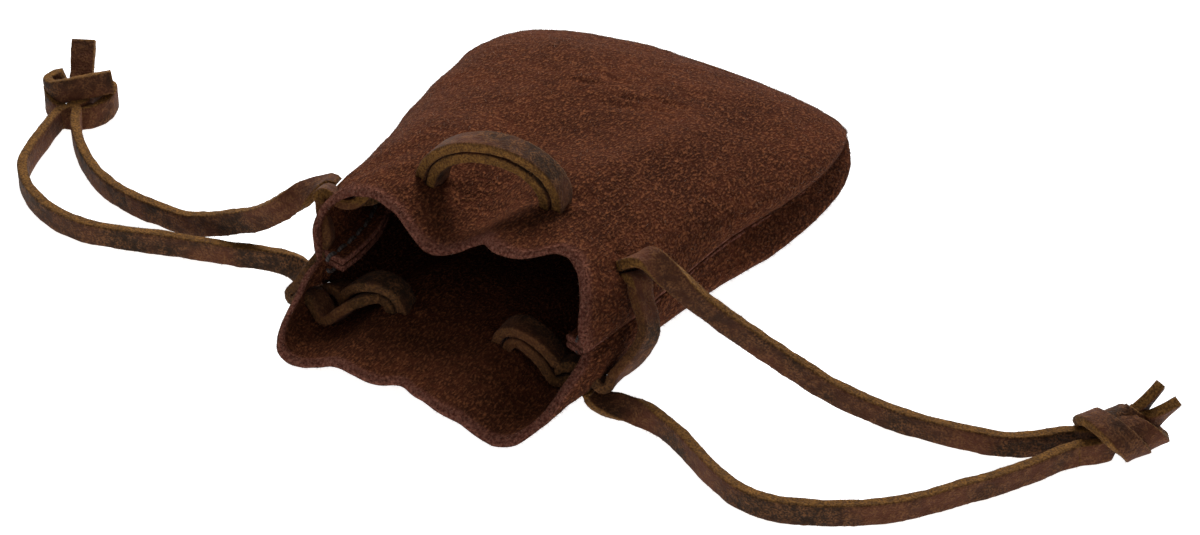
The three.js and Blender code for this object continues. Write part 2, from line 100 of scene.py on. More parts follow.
# ---- The free ends of the two laces --------------------------------------------------------------
# Flat laces cut from oiled leather, dark on the faces and golden on the two cut edges. Each leaves
# the neck through its last slit, turns on edge and lies on the table as far as its knot.
POUCH_WIDTH = 0.089
POUCH_LENGTH = 0.119
POUCH_HEIGHT = 0.032
LEATHER = 0.0014
LACE_WIDTH = 0.005
LACE_THICKNESS = 0.0021
GAP = 0.0003
FLOOR_Y = [0, 0.134, 0.265, 0.441, 0.618, 0.769, 0.88, 0.938, 0.965]
BOW = [0, 0, 0, 0, 0, 0.008, 0.022, 0.032, 0.035]
SKEW = [0, 0.07, 0.05, 0.02, 0, 0, 0, 0, 0]
LEAN = [0.61, 0.625, 0.594, 0.437, 0.25, 0.063, -0.031, -0.016, 0]
HALF_WIDTH = [0.67, 0.764, 0.8, 0.875, 0.96, 1, 0.955, 0.86, 0.74]
CROWN = [0.95, 0.985, 0.97, 0.875, 0.8, 0.72, 0.58, 0.43, 0.312]
SEAM = [0.44, 0.47, 0.47, 0.44, 0.375, 0.345, 0.33, 0.3125, 0.3125]
UNDER = [0, 0, 0, 0, 0, 0, 0.047, 0.172, 0.312]
DIP = [1, 0.75, 0.35, 0.1, 0, 0, 0, 0, 0]
HUMP = [0.8, 1, 0.85, 0.3, 0, 0, 0, 0, 0]
ROUNDING = {
    "front": [4, 2.7, 2.4, 2.4, 2.4, 2.4, 2.4, 2.4, 2.4],
    "back": [4.5, 3.1, 2.9, 2.9, 2.9, 2.9, 2.9, 2.9, 2.9],
}
DIP_DEPTH = 0.0075
DIP_WIDTH = 0.008
DIP_X = -0.003
FLATTENING = 1.06
HUMP_HALF_WIDTH = 0.2056 * POUCH_WIDTH
HUMP_CLEARANCE = 0.0018
PINCH = 0.006
PINCH_HEIGHT = 0.0145
PINCH_ABOVE = 0.005
PINCH_BELOW = 0.008
PINCH_AT_RIM = 0.35
HUMP_SQUARENESS = 8
SLIT_LINE = 1
SLITS = {"front": [0.14, 0.38, 0.62, 0.83], "back": [0.2, 0.395, 0.605, 0.8]}
PAIR_GAP = 0.0005
LAYER_STEP = LACE_THICKNESS + PAIR_GAP
NEAR = GAP + LACE_THICKNESS / 2
PAIR_THICKNESS = LACE_THICKNESS + LAYER_STEP
HUMP_HEIGHT = PAIR_THICKNESS + HUMP_CLEARANCE
SIDESTEP = LACE_WIDTH / 2 + GAP
INSIDE_SLACK = 0.0012


def between(row, t):
    """Value of a row of stations at a place between them. Before the first one the row goes straight on."""
    row = np.asarray(row, float)
    before = np.minimum(t, 0) * (row[1] - row[0]) / 2
    t = np.maximum(t, 0)
    i = np.clip(np.floor(t).astype(int), 0, len(row) - 2)
    f = t - i
    a = row[np.maximum(i - 1, 0)]
    b = row[i]
    c = row[i + 1]
    d = row[np.minimum(i + 2, len(row) - 1)]
    return before + b + 0.5 * f * (c - a + f * (2 * a - 5 * b + 4 * c - d + f * (3 * (b - c) + d - a)))


def panel_point(side, u, t, inset=0.0):
    """Points of a panel: u from the left seam to the right one, t from the mouth to the base."""
    u = np.asarray(u, float)
    t = np.asarray(t, float)
    rounding = between(ROUNDING[side], t)
    c = np.cos(np.pi * u)
    s = np.sin(np.pi * u)
    r = (np.abs(c) ** rounding + np.abs(s) ** rounding) ** (1 / rounding)
    x = -(between(HALF_WIDTH, t) * POUCH_WIDTH / 2 - inset) * c / r
    seam = between(SEAM, t) * POUCH_HEIGHT
    closed = LEATHER + GAP / 2
    if side == "front":
        crown = np.maximum(between(CROWN, t) * POUCH_HEIGHT, seam + closed) - inset
        z = seam + GAP / 2 + (crown - seam - GAP / 2) * s / r
        z = z - between(DIP, t) * DIP_DEPTH * np.exp(-(((x - DIP_X) / DIP_WIDTH) ** 2))
    else:
        under = np.maximum(0, np.minimum(between(UNDER, t) * POUCH_HEIGHT, seam - closed)) + inset
        z = seam - GAP / 2 - (seam - GAP / 2 - under) * np.minimum(1, FLATTENING * s / r)
        hump = np.maximum(0, between(HUMP, t)) * HUMP_HEIGHT
        z = z + hump / (1 + (x / HUMP_HALF_WIDTH) ** HUMP_SQUARENESS)
    bow = between(BOW, t) * (1 - (c / r) ** 2)
    y = (between(FLOOR_Y, t) + bow - 0.5) * POUCH_LENGTH + between(LEAN, t) * z + between(SKEW, t) * x
    return np.stack([x, y, z], axis=-1)


def smooth_step(x):
    x = np.clip(x, 0, 1)
    return x * x * (3 - 2 * x)


def pinch(points, u, t):
    """How far the tight lace pulls the left seam of the neck inwards. The rim flares out again."""
    above = points[..., 2] - PINCH_HEIGHT
    height = np.exp(-(above / np.where(above > 0, PINCH_ABOVE, PINCH_BELOW)) ** 2)
    flare = PINCH_AT_RIM + (1 - PINCH_AT_RIM) * smooth_step((t - 0.4) / 0.6)
    return PINCH * height * flare * smooth_step((2.3 - t) / 0.9) * smooth_step((0.3 - u) / 0.12)


def unit(v):
    return v / np.linalg.norm(v)


def panel_frame(side, u, t=SLIT_LINE):
    """A place on a panel with its directions across, along and outwards."""
    step = 0.004
    across = unit(panel_point(side, u + step, t) - panel_point(side, u - step, t))
    along = panel_point(side, u, t + step) - panel_point(side, u, t - step)
    along = unit(along - across * along.dot(across))
    out = unit(np.cross(across, along))
    return panel_point(side, u, t), across, along, out if side == "front" else -out


def share_of(side, u, distance):
    """Share of the way across a panel that a distance covers at a slit."""
    step = 0.004
    covered = np.linalg.norm(panel_point(side, u + step, SLIT_LINE) - panel_point(side, u - step, SLIT_LINE))
    return distance * 2 * step / covered


def outside(layer):
    return NEAR + (layer - 1) * LAYER_STEP


def inside(layer):
    return -LEATHER - INSIDE_SLACK - outside(layer)


# How a lace crosses a slit: how far from its middle, in which layers, and how far sideways.
NEAR_OUTSIDE = {"pass": LAYER_STEP / 2, "outer": 1, "inner": 2, "aside": 0.0}
FAR_OUTSIDE = {"pass": -LAYER_STEP / 2, "outer": 2, "inner": 1, "aside": 0.0}
LOOP_ABREAST = {"pass": 0, "outer": 1, "inner": 1, "aside": -SIDESTEP}
TAIL_ABREAST = {"pass": 0, "outer": 1, "inner": 2, "aside": SIDESTEP}
LOOP_DEEP = {"pass": 0, "outer": 1, "inner": 1.6, "aside": -SIDESTEP}
TAIL_DEEP = {"pass": 0, "outer": 1, "inner": 2.6, "aside": SIDESTEP}


def tail_exit(side, edge):
    """Where a tail leaves its slit, and the directions there."""
    right = edge == "right"
    way = FAR_OUTSIDE if right else TAIL_ABREAST
    slit = SLITS[side][3 if right else 0]
    towards = 1 if right else -1
    at, _, along, out = panel_frame(side, slit + share_of(side, slit, way["pass"] * towards))
    return at + along * way["aside"] + out * GAP, along, out


def smooth_route(stops, step):
    """A smooth line through stops, each a place and a width direction, cut into short steps."""
    rows = np.array([np.concatenate(stop) for stop in stops])
    gaps = np.linalg.norm(np.diff(rows[:, :3], axis=0), axis=1)
    keep = np.concatenate([[True], gaps > 1e-5])
    rows = rows[keep]
    gaps = np.linalg.norm(np.diff(rows[:, :3], axis=0), axis=1)
    reach = np.concatenate([[0], np.cumsum(gaps)])
    slopes = np.gradient(rows, reach, axis=0)
    s = np.linspace(0, reach[-1], max(8, int(reach[-1] / step)))
    i = np.clip(np.searchsorted(reach, s, side="right") - 1, 0, len(gaps) - 1)
    f = ((s - reach[i]) / gaps[i])[:, None]
    h = gaps[i][:, None]
    return ((1 + 2 * f) * (1 - f) ** 2 * rows[i] + f * (1 - f) ** 2 * h * slopes[i]
            + f * f * (3 - 2 * f) * rows[i + 1] + f * f * (f - 1) * h * slopes[i + 1])


def grain(points, scale, seed):
    shift = Vector((seed * 7.13, seed * 3.71, seed * 5.37))
    return np.array([noise.noise(Vector(p) * scale + shift) for p in points])


def fibres(rng, roots, directions, length, radius, pale):
    """Loose fibres: a thin closed spike on each root. pale is the share of light ones."""
    count = len(roots)
    lean = directions + rng.normal(0, 0.55, (count, 3))
    lean /= np.linalg.norm(lean, axis=1)[:, None]
    side = np.cross(lean, rng.normal(0, 1, (count, 3)))
    side /= np.linalg.norm(side, axis=1)[:, None]
    other = np.cross(lean, side)
    size = radius * rng.uniform(0.6, 1.3, (count, 1))
    base = roots - lean * 0.0001
    corners = [base + size * (side * math.cos(a) + other * math.sin(a)) for a in (0, 2.094, 4.189)]
    bend = base + lean * length * rng.uniform(0.3, 1.0, (count, 1)) + side * length * 0.15
    verts = np.stack([*corners, bend], axis=1).reshape(-1, 3)
    faces = []
    for k in range(count):
        a = 4 * k
        faces += [(a, a + 1, a + 3), (a + 1, a + 2, a + 3), (a + 2, a, a + 3), (a, a + 2, a + 1)]
    light = np.repeat(np.where(rng.random(count) < pale, 1.0, rng.uniform(0.05, 0.35, count)), 4)
    return verts, faces, np.zeros(len(verts)), light


def strip(stops, width, thickness, seed, step=0.0008, rough=0.00012, fuzz=12000, trim=0.0):
    """A flat strip of leather along its stops, with uneven faces and loose fibres on its cut edges."""
    dense = smooth_route(stops, step)
    at = dense[:, :3]
    tangent = np.gradient(at, axis=0)
    tangent /= np.linalg.norm(tangent, axis=1)[:, None]
    across = dense[:, 3:] - tangent * np.sum(dense[:, 3:] * tangent, axis=1)[:, None]
    across /= np.linalg.norm(across, axis=1)[:, None]
    normal = np.cross(tangent, across)
    w = width / 2
    h = thickness / 2
    eased = 0.00035
    ring = []
    for turn in (1, -1):
        for k in np.linspace(-1, 1, 7):
            ring.append((turn * k * (w - eased), turn * h, 0.0))
        ring.append((turn * (w - eased * 0.3), turn * (h - eased * 0.3), 0.6))
        for k in np.linspace(1, -1, 4):
            ring.append((turn * w, turn * k * (h - eased), 1.0))
        ring.append((turn * (w - eased * 0.3), -turn * (h - eased * 0.3), 0.6))
    ring = np.array(ring)
    sides = len(ring)
    radial = ring[None, :, 0, None] * across[:, None] + ring[None, :, 1, None] * normal[:, None]
    verts = (at[:, None] + radial).reshape(-1, 3)
    outwards = radial.reshape(-1, 3)
    outwards /= np.linalg.norm(outwards, axis=1)[:, None]
    cut = np.tile(ring[:, 2], len(at))
    uneven = grain(verts, 260, seed) * rough * 1.6 + grain(verts, 900, seed + 3) * rough * (0.5 + 0.8 * cut)
    verts = verts + outwards * uneven[:, None]
    faces = []
    for j in range(len(at) - 1):
        for i in range(sides):
            a = j * sides + i
            b = j * sides + (i + 1) % sides
            faces.append((a, b, b + sides, a + sides))
    last = (len(at) - 1) * sides
    faces.append(tuple(range(sides - 1, -1, -1)))
    faces.append(tuple(range(last, last + sides)))
    cut[:sides] = 1
    cut[last:] = 1
    parts = [(verts, faces, cut, np.zeros(len(verts)))]
    if fuzz:
        rng = np.random.default_rng(seed)
        edges = np.flatnonzero((cut > 0.5) & (verts[:, 2] > trim + 0.0004))
        length = len(at) * step
        picked = rng.choice(edges, int(length * fuzz))
        parts.append(fibres(rng, verts[picked], outwards[picked], 0.00055, 0.000035, 0.04))
    return parts


def piece(name, parts, material):
    """One object from parts, each its corners, faces, share of cut edge and paleness."""
    verts = np.concatenate([part[0] for part in parts])
    faces = []
    start = 0
    for part in parts:
        faces += [tuple(index + start for index in face) for face in part[1]]
        start += len(part[0])
    mesh = bpy.data.meshes.new(name)
    mesh.from_pydata(verts.tolist(), [], faces)
    for attribute, column in (("cut", 2), ("pale", 3)):
        values = np.concatenate([part[column] for part in parts]).astype(np.float32)
        mesh.attributes.new(attribute, "FLOAT", "POINT").data.foreach_set("value", values)
    mesh.polygons.foreach_set("use_smooth", [True] * len(mesh.polygons))
    mesh.materials.append(material)
    made = bpy.data.objects.new(name, mesh)
    bpy.context.collection.objects.link(made)
    return made


class Wire:
    """A value in a material. An operator on it adds a Math node."""

    def __init__(self, tree, socket=None):
        self.tree = tree
        self.socket = socket

    def node(self, kind, settings, inputs, output=0):
        made = self.tree.nodes.new(kind)
        for name, value in settings.items():
            if name == "stops":
                for stop in value[2:]:
                    made.color_ramp.elements.new(stop[0])
                for element, (place, tone) in zip(made.color_ramp.elements, value):
                    element.position = place
                    element.color = (tone, tone, tone, 1)
            else:
                setattr(made, name, value)
        for name, value in inputs.items():
            if isinstance(value, Wire):
                self.tree.links.new(value.socket, made.inputs[name])
            else:
                made.inputs[name].default_value = value
        return Wire(self.tree, made.outputs[output] if made.outputs else None)

    def math(self, operation, a, b):
        return self.node("ShaderNodeMath", {"operation": operation}, {0: a, 1: b})

    def __add__(self, other):
        return self.math("ADD", self, other)

    def __radd__(self, other):
        return self.math("ADD", other, self)

    def __sub__(self, other):
        return self.math("SUBTRACT", self, other)

    def __rsub__(self, other):
        return self.math("SUBTRACT", other, self)

    def __mul__(self, other):
        return self.math("MULTIPLY", self, other)

    def __rmul__(self, other):
        return self.math("MULTIPLY", other, self)


def new_material(name):
    material = bpy.data.materials.new(name)
    material.use_nodes = True
    material.node_tree.nodes.clear()
    return material, Wire(material.node_tree)


def colour_mix(start, a, b, factor):
    a = a if isinstance(a, Wire) else (*a, 1)
    b = b if isinstance(b, Wire) else (*b, 1)
    return start.node("ShaderNodeMix", {"data_type": "RGBA"}, {0: factor, 6: a, 7: b}, 2)


def speckle(start, place, scale, detail=3.0, low=0.3, high=0.7):
    """Noise of one scale, stretched so that it runs from 0 to 1."""
    raw = start.node("ShaderNodeTexNoise", {}, {"Vector": place, "Scale": scale, "Detail": detail})
    return start.node("ShaderNodeMapRange", {},
                      {"Value": raw, "From Min": low, "From Max": high, "To Min": 0.0, "To Max": 1.0})


def attribute(start, name):
    return start.node("ShaderNodeAttribute", {"attribute_name": name}, {}, "Fac")


def lace_material():
    """Oiled flat leather: brown faces worn reddish in places, and golden fibrous cut edges."""
    material, start = new_material("oiled_lace")
    place = start.node("ShaderNodeTexCoord", {}, {}, "Object")
    cut = attribute(start, "cut")
    pale = attribute(start, "pale")
    patches = speckle(start, place, 90, 2.0, 0.38, 0.62)
    specks = speckle(start, place, 2400, 2.0, 0.38, 0.64)
    tufts = speckle(start, place, 600, 3.0, 0.38, 0.62)
    face = colour_mix(start, (0.029, 0.0145, 0.0075), (0.092, 0.030, 0.014), patches)
    face = colour_mix(start, face, (0.190, 0.082, 0.034), specks * tufts * 0.8)
    edge = colour_mix(start, (0.090, 0.038, 0.009), (0.260, 0.120, 0.030), specks)
    edge = colour_mix(start, edge, (0.045, 0.021, 0.006), tufts * 0.4)
    colour = colour_mix(start, face, edge, cut)
    colour = colour_mix(start, colour, (0.42, 0.27, 0.11), pale)
    rough = 0.72 + 0.2 * specks
    height = specks * 0.5 + tufts * 0.5
    bump = start.node("ShaderNodeBump", {}, {"Height": height, "Strength": 0.6, "Distance": 0.0003})
    shader = start.node("ShaderNodeBsdfPrincipled", {}, {
        "Base Color": colour, "Roughness": rough, "Normal": bump,
        "Specular IOR Level": 0.1, "Sheen Weight": 0.02, "Sheen Roughness": 0.5})
    start.node("ShaderNodeOutputMaterial", {}, {"Surface": shader})
    return material


LACE = lace_material()

# Each tail's route in millimetres: outwards from its exit, along +Y from it, and height.
TAILS = {
    "right_cord_tail_upper": [
        (3.2, 0.6, 27.2), (7.5, 1.8, 24), (12.5, 3, 20), (17.5, 4, 16.6), (25, 6, 11.8), (32.5, 8, 7.3),
        (40.5, 9.3, 3.9), (49, 9.7, 2.8), (57, 10, 2.8), (65, 11.3, 2.8), (72, 13, 2.8), (78.5, 17, 2.8),
        (82, 20.4, 3), (84, 21.7, 3)],
    "right_cord_tail_lower": [
        (3.2, -0.6, 2.4), (7, -0.6, 2.7), (11, -0.3, 2.8), (16, -1.1, 2.8), (21.5, -3.2, 2.8),
        (27.5, -6.5, 2.8), (34, -9.8, 2.8), (39, -11.4, 2.8), (43, -11.6, 2.8), (50, -9.7, 2.8),
        (56.5, -6.3, 2.8), (62.5, -2, 2.8), (68, 3.5, 2.8), (72.5, 9.7, 2.8), (77.5, 16.3, 2.8),
        (82, 23.6, 2.8), (85, 28.8, 3), (87.3, 32, 3)],
    "left_cord_tail_upper": [
        (2.5, -0.8, 21.4), (5.5, -2.8, 19.4), (10, -5, 15.4), (15, -5.4, 11.4), (21.5, -5, 7.8),
        (29, -5.2, 4.4), (35, -5.4, 2.8), (40.5, -5.6, 2.8), (46, -5.5, 2.8), (52, -4.6, 2.8),
        (58, -2.7, 2.8), (64, 0.7, 2.8), (69.5, 4.9, 2.8), (74.8, 10.4, 3), (76.6, 13.2, 3)],
    "left_cord_tail_lower": [
        (3, 1, 3), (6.5, 3.2, 3), (9.8, 4.6, 3), (13.5, 4.6, 3), (18, 3.6, 2.9), (22.5, 2.2, 2.8),
        (29.5, 0.2, 2.8), (38, -2.4, 2.8), (46, -5.2, 2.8), (54, -7, 2.8), (60.5, -6.8, 2.8),
        (67, -5, 2.8), (74, -0.9, 2.8), (78, 3.5, 2.8), (80, 8.5, 2.8), (81.5, 14, 2.8),
        (82.8, 19.8, 3), (83.2, 22.6, 3)],
}
MILLIMETRE = 0.001
TURNED_BY = 0.16
UPRIGHT = np.array([0.0, 0.0, 1.0])
tails = {}
for number, (name, route) in enumerate(TAILS.items()):
    edge = name.split("_")[0]
    exit_point, along, out = tail_exit("front" if name.endswith("upper") else "back", edge)
    towards = 1 if edge == "right" else -1
    places = [exit_point, exit_point + out * LACE_THICKNESS / 2]
    for away, on, z in route:
        places.append(np.array([exit_point[0] + towards * away * MILLIMETRE,
                                exit_point[1] + on * MILLIMETRE, z * MILLIMETRE]))
    steps = np.linalg.norm(np.diff(places, axis=0), axis=1)
    shares = np.concatenate([[0], np.cumsum(steps)]) / steps.sum()
    stops = []
    for place, share in zip(places, shares):
        turn = min(1.0, share / TURNED_BY)
        stops.append((place, along * (1 - turn) + UPRIGHT * turn))
    path = smooth_route(stops, 0.004)[:, :3]
    length = np.linalg.norm(np.diff(path, axis=0), axis=1).sum()
    tails[name] = {"exit": exit_point, "places": places, "path": path, "length": length}
    parts = strip(stops, LACE_WIDTH, LACE_THICKNESS, 11 + number)
    tails[name]["object"] = piece(name.replace("cord", "lace"), parts, LACE)

# ---- The knots -----------------------------------------------------------------------------------
# Both ends of each lace are tied together in one overhand knot, pulled tight, with the cut ends
# standing out of it. The same oiled leather; the wraps lie on their faces, one on the other.
KNOTS = {
    "right": {"heading": 1.0, "away": 90.4, "on": 24.5},
    "left": {"heading": 2.1, "away": 80.3, "on": 19.0},
}
KNOT_HEIGHT = 0.0048


def ribbon(centre, heading, points, start):
    """Stops of a lace in a knot from points on it: forwards, leftwards, up, and the width's direction."""
    forwards = np.array([math.cos(heading), math.sin(heading), 0])
    leftwards = np.array([-math.sin(heading), math.cos(heading), 0])
    stops = list(start)
    for x, y, z, wx, wy, wz in points:
        at = centre + (forwards * x + leftwards * y + UPRIGHT * z) * MILLIMETRE
        stops.append((at, unit(forwards * wx + leftwards * wy + UPRIGHT * wz)))
    return stops


def wrap(first, last, count, middle, radii, shift, tilt, phase):
    """Points of a wrap round the core of a knot, by the angle in degrees from the left side upwards."""
    points = []
    for k in range(count):
        share = k / (count - 1)
        degrees = first + (last - first) * share
        angle = math.radians(degrees)
        grow = 1 + radii[2] * share
        x = middle + shift * (share - 0.5) + tilt * math.sin(math.radians(degrees - phase))
        slope = tilt * math.cos(math.radians(degrees - phase)) / radii[0]
        points.append((x, radii[0] * grow * math.cos(angle), radii[1] * grow * math.sin(angle),
                       1, slope * math.sin(angle), -slope * math.cos(angle)))
    return points


def tail_end(name):
    """The last stop of a tail, from which its knot goes on."""
    places = tails[name]["places"]
    return [(places[-1] - (places[-1] - places[-2]) * 0.3, UPRIGHT)]


RIBBONS = {
    "right_cord_tail_upper": [
        (-3.4, 1.0, -0.6, 0, 0, 1), (0.5, 0.6, 0.2, 0, 0.2, 1), (4.4, 1.2, 1.8, -0.3, -0.1, 1),
        (7.4, 1.8, 3.8, -0.4, -0.5, 0.8), (10.6, 2.4, 6.2, -0.5, -0.6, 0.7)],
    "right_cord_tail_lower": [
        (-4.6, -1.4, -1.2, 0, 0, 1), (-2.6, -1.8, -0.9, 0.2, 0, 1), (-0.4, -0.4, -1.6, 0.8, 0, 0.6),
        *wrap(20, 430, 18, 0.4, (5.2, 4.3, -0.2), 5.4, 2.6, 170),
        (5.8, -0.4, 0.8, 0, 0, 1), (8.6, -0.9, 2.2, -0.3, -0.4, 0.9), (12.2, -1.0, 3.9, -0.4, -0.6, 0.7)],
    "left_cord_tail_upper": [
        (-4.0, 0.6, -1.4, 0, 0, 1), (-1.0, 0.2, -0.6, 0, 0.6, 0.7), (2.2, 0, 1.4, 0, 1, 0.1),
        (5.0, -0.2, 4.2, 0, 1, 0), (8.4, -0.4, 7.6, 0, 1, 0)],
    "left_cord_tail_lower": [
        (-4.0, -1.6, -1.4, 0, 0, 1), (-0.5, -2.2, -1.2, 0, 0, 1), (2.6, -4.0, -1.2, 0, 0, 1),
        (1.8, -6.4, -1.4, 0.1, 0, 1), (-1.8, -6.6, -1.8, 0.2, 0, 1), (-5.0, -4.6, -2.2, 0.3, 0, 1),
        (-6.6, -1.2, -2.3, 0.3, 0, 1), (-6.2, 2.4, -2.2, 0.3, 0, 1), (-3.6, 5.4, -1.6, 0.2, 0, 1),
        (0.2, 6.4, -0.4, 0.2, 0, 1), (2.8, 5.0, 0.8, 0.1, 0, 1), (2.6, 3.4, 1.4, 0.0, 0, 1)],
}
BANDS = {
    "right": wrap(10, 350, 17, 4.2, (4.1, 2.9, 0.0), 1.2, 3.2, 170),
    "left": [
        (2.6, 4.6, 1.0, 0, 0.1, 1), (0.4, 6.4, 1.0, 0.1, 0.1, 1), (-2.4, 5.2, 1.6, 0.25, 0.1, 1),
        (-3.3, 2.4, 2.4, 0.3, 0, 1), (-3.0, -1.2, 3.0, 0.3, 0, 1), (-2.2, -4.4, 3.4, 0.3, 0, 1),
        (-1.2, -7.4, 3.6, 0.3, 0, 1)],
}
knots = {}
for edge, facts in KNOTS.items():
    exit_point = tails[f"{edge}_cord_tail_upper"]["exit"]
    towards = 1 if edge == "right" else -1
    centre = np.array([exit_point[0] + towards * facts["away"] * MILLIMETRE,
                       exit_point[1] + facts["on"] * MILLIMETRE, KNOT_HEIGHT])
    parts = []
    for number, level in enumerate(("upper", "lower")):
        tail_name = f"{edge}_cord_tail_{level}"
        stops = ribbon(centre, facts["heading"], RIBBONS[tail_name], tail_end(tail_name))
        parts += strip(stops, LACE_WIDTH, LACE_THICKNESS, 31 + number, step=0.0005)
    stops = ribbon(centre, facts["heading"], BANDS[edge], [])
    parts += strip(stops, LACE_WIDTH, LACE_THICKNESS, 37, step=0.0005)
    knots[edge] = piece(f"{edge}_lace_knot", parts, LACE)
    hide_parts(f"{edge}_cord_knot")
    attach(knots[edge], f"{edge}_pull")

for name, facts in tails.items():
    edge = name.split("_")[0]
    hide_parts(name)
    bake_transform(facts["object"])

# ---- The threaded laces --------------------------------------------------------------------------
# Between its tails each lace runs right round the neck, in and out of eight slits. The two run as a
# pair, face to face, with a slack arch above the front panel, and each loops over one side seam.
ARCH_RISE = 0.0095
WRAP_RISE = {"left": 0.0, "right": 0.0036}
SPRING = {"inner": 0.4, "outer": 0.1}
SAG = {"inner": -0.001, "outer": 0.001}
# The cut edges stay golden on the arch; lower down they are darkened with painted shade.
GOLDEN_EDGE_ABOVE = 0.0235
SHADED_EDGE_SHARE = 0.3


def outer_reach(way):
    return way["pass"] + outside(way["outer"])


def inner_reach(way):
    return outside(way["inner"]) + INSIDE_SLACK - way["pass"]


def through_slit(side, u, towards, way, starts_in_slit=False):
    """A lace going in through a slit. towards is the side of the slit where it lies outside."""
    at, across, along, out = panel_frame(side, u)
    middle = at + along * way["aside"]

    def place(s, lift):
        return middle + across * (s * towards) + out * lift, along

    def bend(centre, depth, radius, turn):
        angles = [k / 4 * math.pi / 2 for k in (1, 2, 3)]
        return [place(centre + turn * radius * math.cos(a), depth - turn * radius * math.sin(a))
                for a in angles]

    stops = []
    if not starts_in_slit:
        stops.append(place(outer_reach(way), outside(way["outer"])))
        stops += bend(outer_reach(way), 0, outside(way["outer"]), -1)[::-1]
    stops += [place(way["pass"], 0), place(way["pass"], -LEATHER)]
    stops += bend(-inner_reach(way), -LEATHER, outside(way["inner"]) + INSIDE_SLACK, 1)
    stops.append(place(-inner_reach(way), inside(way["inner"])))
    return stops


def span(side, face, start, start_way, finish, finish_way):
    """The stretch between two slits of a panel, inside the pouch or under it."""
    height = inside if face == "inner" else outside
    reach_of = inner_reach if face == "inner" else outer_reach
    furthest = inner_reach(TAIL_DEEP if side == "front" else TAIL_ABREAST)
    heading = 1 if finish > start else -1

    def end(u, way, sign):
        at, across, along, out = panel_frame(side, u)
        reach = reach_of(way) if way["aside"] == 0 else furthest
        at = at + across * (sign * heading * reach) + out * height(1.5)
        return at, across * heading, along, out, way["aside"], height(way[face]) - height(1.5)

    a = end(start, start_way, 1)
    b = end(finish, finish_way, -1)
    pull = np.linalg.norm(a[0] - b[0]) * SPRING[face]
    facing = math.copysign(1, np.cross(a[1], a[2]).dot(a[3]))

    def point(q):
        return (a[0] * (1 + 2 * q) * (1 - q) ** 2 + a[1] * pull * q * (1 - q) ** 2
                + b[0] * q * q * (3 - 2 * q) + b[1] * pull * q * q * (q - 1))

    stops = []
    for k in range(1, 10):
        q = k / 10
        eased = q * q * (3 - 2 * q)
        width = a[2] * (1 - q) + b[2] * q
        normal = unit(np.cross(point(q + 0.01) - point(q - 0.01), width)) * facing
        lift = a[5] + (b[5] - a[5]) * eased + SAG[face] * math.sin(math.pi * q) ** 2
        at = point(q) + normal * lift
        stops.append((at + width * (a[4] + (b[4] - a[4]) * eased), width))
    return stops


def arch(layer):
    """The slack pair above the front panel: half an ellipse from slit to slit."""
    left, _, left_along, left_out = panel_frame("front", SLITS["front"][1])
    right, _, right_along, right_out = panel_frame("front", SLITS["front"][2])
    middle = (left + right) / 2
    half_span = np.linalg.norm(right - left) / 2
    across = unit(right - left)
    up = unit(left_out + right_out)
    grow = (layer - 1.5) * LAYER_STEP
    stops = []
    for k in range(1, 22):
        angle = math.pi * (1 - k / 22)
        at = middle + across * (half_span + grow) * math.cos(angle)
        at = at + up * (ARCH_RISE + grow) * math.sin(angle)
        stops.append((at, left_along * (1 - k / 22) + right_along * k / 22))
    return stops


def over_seam(edge, way):
    """The loop over a side seam, from the front panel's end slit to the back panel's."""
    right = edge == "right"
    outwards = 1 if right else -1
    front = SLITS["front"][3 if right else 0]
    back = SLITS["back"][3 if right else 0]
    near_seam = 0.99 if right else 0.01
    start = front + outwards * share_of("front", front, outer_reach(way))
    finish = back + outwards * share_of("back", back, outer_reach(way))
    places = [("front", start + (near_seam - start) * k / 5) for k in range(1, 6)]
    places += [("back", near_seam + (finish - near_seam) * k / 5) for k in range(5)]
    stops = []
    for k, (side, u) in enumerate(places):
        at, _, along, out = panel_frame(side, u)
        hill = math.sin(math.pi * (k + 1) / (len(places) + 1)) ** 2
        middle = at + out * (outside(way["outer"]) + WRAP_RISE[edge] * hill) + along * way["aside"]
        stops.append((middle + np.array([pinch(at, u, SLIT_LINE), 0, 0]), along))
    return stops


f1, f2, f3, f4 = SLITS["front"]
b1, b2, b3, b4 = SLITS["back"]
right_stops = [
    *through_slit("front", f4, 1, FAR_OUTSIDE, True),
    *span("front", "inner", f4, FAR_OUTSIDE, f3, FAR_OUTSIDE),
    *through_slit("front", f3, -1, FAR_OUTSIDE, True)[::-1],
    *arch(2)[::-1],
    *through_slit("front", f2, 1, FAR_OUTSIDE, True),
    *span("front", "inner", f2, FAR_OUTSIDE, f1, LOOP_DEEP),
    *through_slit("front", f1, -1, LOOP_DEEP)[::-1],
    *over_seam("left", LOOP_ABREAST),
    *through_slit("back", b1, -1, LOOP_ABREAST),
    *span("back", "inner", b1, LOOP_ABREAST, b2, FAR_OUTSIDE),
    *through_slit("back", b2, 1, FAR_OUTSIDE)[::-1],
    *span("back", "outer", b2, FAR_OUTSIDE, b3, FAR_OUTSIDE),
    *through_slit("back", b3, -1, FAR_OUTSIDE),
    *span("back", "inner", b3, FAR_OUTSIDE, b4, FAR_OUTSIDE),
    *through_slit("back", b4, 1, FAR_OUTSIDE, True)[::-1],
]
